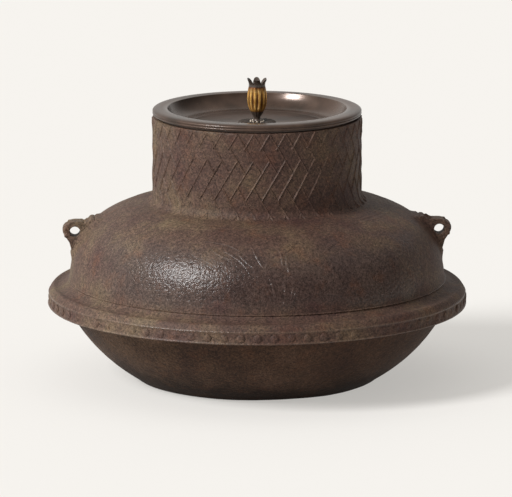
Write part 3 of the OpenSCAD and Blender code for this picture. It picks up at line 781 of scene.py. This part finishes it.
REEDS = (
    ((-24, 0.33), (-15, 0.34), (-8, 0.43)), ((-14, 0.43), (-7.5, 0.55), (-4, 0.72)),
    ((-19, 0.40), (-15, 0.48), (-11, 0.52)), ((-5, 0.33), (-2.8, 0.47), (0, 0.63)),
    ((2, 0.53), (0.8, 0.58), (0, 0.64)), ((-9, 0.45), (-3.7, 0.6), (0.5, 0.67)),
    ((0, 0.64), (2.2, 0.76), (3.2, 0.92)), ((5, 0.40), (5.9, 0.51), (5.8, 0.64)),
    ((8.6, 0.41), (7.4, 0.59), (9.8, 0.77)), ((12.5, 0.31), (8.9, 0.41), (5.6, 0.47)),
    ((9.4, 0.74), (8.5, 0.83), (7.6, 0.96)), ((11, 0.78), (9, 0.87), (7.6, 0.97)),
    ((22, 0.54), (22.3, 0.68), (20.8, 0.8)), ((-0.6, 0.76), (1.1, 0.83), (2.2, 0.92)),
    ((5.8, 0.73), (6.3, 0.83), (5.6, 0.93)), ((30, 0.36), (25, 0.40), (19, 0.52)),
)
bm = bmesh.new()
for places in REEDS:
    blade(bm, *places)
bmesh.ops.recalc_face_normals(bm, faces=bm.faces)
place_piece("worn_reeds", bm, cast_iron, "kettle")

# %% [markdown]
# The edge of the flange carries a row of low round bosses, much worn. A flattened ball is enough
# for each, half sunk in the band. Hand-pressed marks vary, so size and depth do: a slow wave wears
# some stretches of the row away, and noise tells neighbours apart.

# %% Flange bosses
BOSSES = 80
BOSS_R, BOSS_RISE, BOSS_SET_BACK, BOSS_SUNK = 2.9, 0.77, 0.78, 0.7
BOSS_Z = FLANGE_Z + 4.4
bm = bmesh.new()
for i in range(BOSSES):
    angle = math.tau * (i + 0.5) / BOSSES
    size = BOSS_R + 0.4 * noise.noise(Vector((i * 1.7, 0.3, 0.1)))
    wave = 0.42 - 0.25 * math.cos(5 * angle + 1.3)
    worn = min(max(wave - 0.9 * noise.noise(Vector((i * 0.7, 2.1, 0.4))), 0.0), BOSS_SUNK)
    spot = Vector((FLANGE_R - BOSS_SET_BACK - worn, 0, BOSS_Z)) * MM
    turn = Matrix.Rotation(angle, 4, "Z") @ Matrix.Translation(spot)
    shape = Matrix.Diagonal((BOSS_RISE * MM, size * MM, size * MM, 1))
    bmesh.ops.create_uvsphere(bm, u_segments=12, v_segments=8, radius=1.0, matrix=turn @ shape)
place_piece("flange_bosses", bm, cast_iron, "kettle")

# %% [markdown]
# The bottom is a separate shallow bowl, luted into a rebate under the flange. It is turned like
# the upper casting, with a flat foot, a soft turn and a side that bulges slightly.

# %% Fitted bottom
RIM_R, RIM_TOP_Z = 131.3, FLANGE_Z + 4.0
PAN_WALL, PAN_STEPS = 3.4, 256
BOWL_R = 117.0
BOWL_FOOT = (87.3, 3.8)
FOOT_R, FOOT_PULL_R, FOOT_PULL = 80.5, 82.95, 2.45


def arc(a, b, radius, count):
    """Points of a circular arc from a to b that bulges to the right of the way it runs."""
    a, b = Vector(a), Vector(b)
    half = (b - a) / 2
    left = Vector((-half.y, half.x)).normalized()
    middle = a + half + left * math.sqrt(radius ** 2 - half.length ** 2)
    sweep = 2 * math.asin(half.length / radius)
    turns = [Matrix.Rotation(sweep * i / (count - 1), 2) for i in range(count)]
    return [tuple(middle + turn @ (a - middle)) for turn in turns]


side = arc(BOWL_FOOT, (RIM_R, FLANGE_Z), BOWL_R, 40)
run = (Vector(side[1]) - Vector(side[0])).normalized()
foot = cubic((FOOT_R, 0), (FOOT_PULL_R, 0), Vector(side[0]) - FOOT_PULL * run, side[0], 8)
bowl = foot + side[1:]
bowl_inside = inset(bowl[::3], -PAN_WALL)
section = ([(0, 0), (30, 0), (60, 0)] + bowl + [(RIM_R, RIM_TOP_Z), (bowl_inside[-1][0], RIM_TOP_Z)]
           + bowl_inside[::-1] + [(40, PAN_WALL), (0, PAN_WALL)])
bm = turned(section, PAN_STEPS)
cast_skin(bm, swell=0.3, pebble=0.05, fine_size=6.0)
for v in bm.verts:
    v.co.z = max(v.co.z, 0.0)
place_piece("fitted_bottom", bm, pan_iron, "kettle", ["bottom_pan"])

# %% [markdown]
# The lugs take the lifting rings. Each is a small mask seen from the side: brow, nose and chin,
# with curls of its mane round the hole. Their outline is cut in CAD; here the sharp block becomes a
# casting. Small balls for the curls and the brow are added to a merged copy of the CAD mesh, and
# the brow is worn flatter. Then it is remeshed at half a millimetre and smoothed into one skin.

# %% Lugs
LUG_EYE_R, LUG_EYE_Z = 125.22, 102.84
LUG_VOXEL = 0.45
CURL_RING, CURL_R, CURL_OUT = 6.6, 1.5, 5.0
CURL_DEGREES = (60, 95, 128, 160, 192, 225, 262, 300, 335, 15)
BROW_BALLS, BROW_TILT = ((6.2, 6.2, 2.4), (9.2, 7.4, 2.0)), 0.6  # back, up and radius of each
BROW_UP, BROW_KEEP, BROW_BACK, BROW_BLEND = 6.4, 0.3, 7.5, 4
for node, facing in (("left_lug", -1), ("right_lug", 1)):
    bm = cad_copy(node)
    eye = Vector((facing * LUG_EYE_R, 0, LUG_EYE_Z))
    balls = []
    for cheek in (-1, 1):
        for degrees in CURL_DEGREES:
            angle = math.radians(degrees)
            spot = eye + Vector((facing * math.cos(angle), 0, math.sin(angle))) * CURL_RING
            spot.y = cheek * (CURL_OUT + 0.6 * noise.noise(spot))
            balls.append((spot, CURL_R))
    for back, up, radius in BROW_BALLS:
        balls.append((eye + Vector((-facing * back, 0, up + facing * BROW_TILT)), radius))
    for spot, radius in balls:
        bmesh.ops.create_icosphere(bm, subdivisions=2, radius=radius * MM,
                                   matrix=Matrix.Translation(spot * MM))
    bmesh.ops.recalc_face_normals(bm, faces=bm.faces)
    for v in bm.verts:
        above = max(0.0, v.co.z / MM - eye.z - BROW_UP)
        share = (abs(v.co.x) / MM - abs(eye.x) + BROW_BACK) / BROW_BLEND
        v.co.z -= (1 - BROW_KEEP) * above * min(1.0, max(0.0, share)) * MM
    lug = place_piece(node + "_casting", bm, cast_iron, "kettle", [node], sharp=180)
    remesh = lug.modifiers.new("remesh", "REMESH")
    remesh.mode = "VOXEL"
    remesh.voxel_size = LUG_VOXEL * MM
    remesh.use_smooth_shade = True
    smooth = lug.modifiers.new("smooth", "SMOOTH")
    smooth.iterations = 3

# %% [markdown]
# The lid is dished: a broad flat rim, a wall that curves down and a level floor, with a collar
# that drops into the mouth. Under the rim a bead and two grooves make a double edge. The real one
# is finished on a lathe, so it is turned here too, from one closed section.

# %% Lid
LID_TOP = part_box("lid")[1].z / MM
LID_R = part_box("lid")[1].x / MM
LID_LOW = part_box("lid")[0].z / MM
DISH_Z = LID_TOP - 10.5
RIM_IN = LID_R - 10.4
DISH_R = RIM_IN - 13.1
COLLAR_R = NECK_R - BODY_WALL - 0.7
BEAD_Z = MOUTH_Z + 1.38
BEAD = ((0, 2.1), (0.5, 1.75), (0.5, 1.45), (0.1, 1.1), (0, 0.8), (0.1, 0.4), (0.5, 0), (2.6, -0.1))
BORE_R = 1.85
LID_T, LID_STEPS = 2.6, 256
dish = cubic((DISH_R, DISH_Z), (DISH_R + 7.9, DISH_Z), (RIM_IN - 1.6, DISH_Z + 5.8),
             (RIM_IN, LID_TOP - 0.8), 28)
floor_line = [(DISH_R - 2.2, DISH_Z), (DISH_R - 1.7, DISH_Z - 0.25), (DISH_R - 1.2, DISH_Z)]
rim_edge = cubic((LID_R - 3.6, LID_TOP), (LID_R - 1.6, LID_TOP), (LID_R, LID_TOP - 0.77),
                 (LID_R, LID_TOP - 1.71), 10)
bead = [(LID_R - back, BEAD_Z + up) for back, up in BEAD] + [(LID_R - 2.6, MOUTH_Z)]
under = [p for p in inset(dish, LID_T) if p[1] < MOUTH_Z and p[0] < COLLAR_R - 3.1]
collar = [(COLLAR_R, MOUTH_Z), (COLLAR_R, LID_LOW + 0.3), (COLLAR_R - 0.3, LID_LOW),
          (COLLAR_R - 2.1, LID_LOW), (COLLAR_R - 2.4, LID_LOW + 0.3), (COLLAR_R - 2.4, MOUTH_Z)]
section = (
    [(BORE_R, DISH_Z), (12, DISH_Z), (30, DISH_Z)] + floor_line + dish
    + [(RIM_IN + 0.25, LID_TOP - 0.25), (RIM_IN + 0.8, LID_TOP)] + rim_edge + bead + collar
    + [(under[-1][0], MOUTH_Z)] + under[::-1] + [(BORE_R, DISH_Z - LID_T)]
)
place_piece("dished_lid", turned(section, LID_STEPS), bronze, "lid", ["lid"], sharp=40)

# %% [markdown]
# Under the knob lies a chrysanthemum washer: sixteen petals round a ring of pearls. A turned disc
# is pressed into petals by moving its points, and small balls make the pearls.

# %% Chrysanthemum washer
PETALS = 16
SEAT_R, PETAL_FOOT_R, PEARL_BED_R = 13.0, 5.8, 3.1
PEARLS, PEARL_RING, PEARL_R = 10, 4.5, 0.85
SEAT_TOP = DISH_Z + 1.2
section = [(BORE_R, DISH_Z), (SEAT_R, DISH_Z), (SEAT_R, DISH_Z + 0.5), (12.6, DISH_Z + 1.0),
           (11.6, SEAT_TOP + 0.3), (9.8, SEAT_TOP + 0.5), (7.8, SEAT_TOP + 0.3),
           (6.5, DISH_Z + 1.1), (PETAL_FOOT_R, DISH_Z + 0.7), (3.4, DISH_Z + 0.7),
           (3.2, DISH_Z + 0.9), (3.0, SEAT_TOP), (BORE_R, SEAT_TOP)]
bm = turned(section, PETALS * 10)
groove = bm.verts.layers.float.new("groove")
for v in bm.verts:
    r, z = polar(v)
    v[groove] = 1.0 if PEARL_BED_R < r < PETAL_FOOT_R else 0.0
    if r > PETAL_FOOT_R:
        crease = abs(math.cos(PETALS / 2 * math.atan2(v.co.y, v.co.x))) ** 4
        outer = (r - PETAL_FOOT_R) / (SEAT_R - PETAL_FOOT_R)
        shrink = 1 - 0.12 * crease * outer
        v[groove] = crease
        v.co.x *= shrink
        v.co.y *= shrink
        if z > DISH_Z + 0.3:
            v.co.z -= (0.35 + 0.45 * outer) * crease * MM
place_piece("chrysanthemum_washer", bm, sooted_bronze, "lid", ["knob_seat"])
bm = bmesh.new()
for i in range(PEARLS):
    angle = math.tau * (i + 0.5) / PEARLS
    spot = Vector((PEARL_RING * math.cos(angle), PEARL_RING * math.sin(angle), DISH_Z + 1.0)) * MM
    bmesh.ops.create_icosphere(bm, subdivisions=2, radius=PEARL_R * MM,
                               matrix=Matrix.Translation(spot))
# The pearls' light bronze is partly a painted highlight.
place_piece("washer_pearls", bm, rubbed_bronze_and_highlight, "lid")

# %% [markdown]
# The knob is a gardenia fruit, whose pod never opens: a play on words for a mouth kept shut.
# Twelve ribs run up the pod. The turned pod is fluted by drawing each point in towards the axis
# by a share that is one in a groove. That share is kept as the attribute groove, which also rises
# towards both ends of the pod, so that they turn red-brown.

# %% Gilt fruit
FLUTES = 12
FRUIT_Z, CROWN_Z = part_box("knob_fruit")[0].z / MM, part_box("knob_fruit")[1].z / MM
FRUIT_H = CROWN_Z - FRUIT_Z
FLUTE_DEPTH = 0.85
FRUIT_FOOT_R, CROWN_FOOT_R = 4.5, 5.8
pod = cubic((FRUIT_FOOT_R, FRUIT_Z), (7.68, FRUIT_Z + 0.3 * FRUIT_H),
            (7.21, FRUIT_Z + 0.66 * FRUIT_H), (CROWN_FOOT_R, CROWN_Z), 40)


def flute(v):
    """One in the middle of a groove, near nothing on a rib."""
    return abs(math.cos(FLUTES / 2 * math.atan2(v.co.y, v.co.x))) ** 3


bm = turned([(BORE_R, FRUIT_Z)] + pod + [(BORE_R, CROWN_Z)], FLUTES * 16)
groove = bm.verts.layers.float.new("groove")
for v in bm.verts:
    r, z = polar(v)
    if r > BORE_R + 0.1:
        along = (z - FRUIT_Z) / FRUIT_H
        share = flute(v) * math.sin(math.pi * (0.1 + 0.8 * along))
        v[groove] = min(1.0, max(share * 1.1, (along - 0.72) / 0.28, 0.9 - along / 0.16))
        shrink = 1 - FLUTE_DEPTH * share / r
        v.co.x *= shrink
        v.co.y *= shrink
place_piece("gilt_fruit", bm, gilt, "lid", ["knob_fruit"], sharp=180)

# %% [markdown]
# The dried calyx crowns the pod: six sepals that rise from a cup and lean out. A turned cup is
# stretched at each sepal and left low between them.

# %% Crown of sepals
SEPALS = 6
CROWN_H, CROWN_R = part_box("knob_crown")[1].z / MM - CROWN_Z, 7.1
NOTCH_H, SEPAL_T, CROWN_BOSS_H = 1.2, 0.9, 2.65
CUP_IN_R = 4
levels = [i / 10 for i in range(1, 11)]
section = ([(BORE_R, 0), (CROWN_FOOT_R, 0)] + [(CROWN_FOOT_R, CROWN_H * t) for t in levels]
           + [(CROWN_FOOT_R - SEPAL_T * (1 - 0.65 * t), CROWN_H * t) for t in levels[:2:-1]]
           + [(3.5, NOTCH_H / 2), (3.0, CROWN_BOSS_H - 0.3), (BORE_R, CROWN_BOSS_H)])
bm = turned(section, SEPALS * 32)
for v in bm.verts:
    r, z = polar(v)
    if r > CUP_IN_R:
        turn = math.atan2(v.co.y, v.co.x) + math.pi / 2
        share = (turn * SEPALS / math.tau + 0.5) % 1 - 0.5
        rise = 1 - (2 * abs(share)) ** 2.2
        z *= (NOTCH_H + (CROWN_H - NOTCH_H) * rise) / CROWN_H
        waist = 0.32 * math.sin(math.pi * z / CROWN_H)
        lean = (CROWN_R - CROWN_FOOT_R) * (z / CROWN_H) ** 2 - waist
        grow = (r + lean + 0.2 * rise * z / CROWN_H) / r
        v.co.x *= grow
        v.co.y *= grow
    v.co.z = (CROWN_Z + z) * MM
place_piece("crown_of_sepals", bm, dark_bronze, "lid", ["knob_crown"])

# %% [markdown]
# A dark stem carries the fruit. Its tang goes through washer and lid and is headed below, and its
# pin ends in the crown. The ribs of the pod run on down the cup of the stem.

# %% Stem
WASHER_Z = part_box("under_washer")[0].z / MM
STEM_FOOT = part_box("knob_stem")[0].z / MM
TANG_R, HEAD_R, WAIST_R = 1.7, 3.4, 2.0
CUP_Z, PIN_Z = SEAT_TOP + 1.4, CROWN_Z + CROWN_BOSS_H
head = [(0, STEM_FOOT), (2.4, STEM_FOOT), (HEAD_R, STEM_FOOT + 0.7), (HEAD_R, WASHER_Z)]
foot = [(TANG_R, WASHER_Z), (TANG_R, SEAT_TOP), (2.7, SEAT_TOP), (2.75, SEAT_TOP + 0.4),
        (2.2, SEAT_TOP + 0.8)]
cup = cubic((WAIST_R, CUP_Z), (WAIST_R, SEAT_TOP + 3.6), (3.6, SEAT_TOP + 4.0),
            (FRUIT_FOOT_R, FRUIT_Z), 16)
pin = [(TANG_R, FRUIT_Z), (TANG_R, PIN_Z), (1.0, PIN_Z + 0.3), (0, PIN_Z + 0.45)]
bm = turned(head + foot + cup + pin, FLUTES * 12)
for v in bm.verts:
    r, z = polar(v)
    if CUP_Z < z < FRUIT_Z + 0.01 and r > WAIST_R - 0.1:
        shrink = 1 - 0.4 * flute(v) * (z - CUP_Z) / (FRUIT_Z - SEAT_TOP) / r
        v.co.x *= shrink
        v.co.y *= shrink
place_piece("knob_stem_turned", bm, dark_bronze, "lid", ["knob_stem"])

# %% [markdown]
# The pieces that stay as CAD made them get their finishes: the lute under the flange, the singing
# plates with their lacquer beds, and the washer under the lid.

# %% Finishes on CAD nodes
NODE_FINISH = {"lacquer": lacquer, "singing": plate_iron, "under": bronze}
for name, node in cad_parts.items():
    finish = NODE_FINISH.get(name.split("_")[0])
    if finish and not node.hide_render:
        node.data.materials.clear()
        node.data.materials.append(finish)
        print(name, "gets", finish.name)
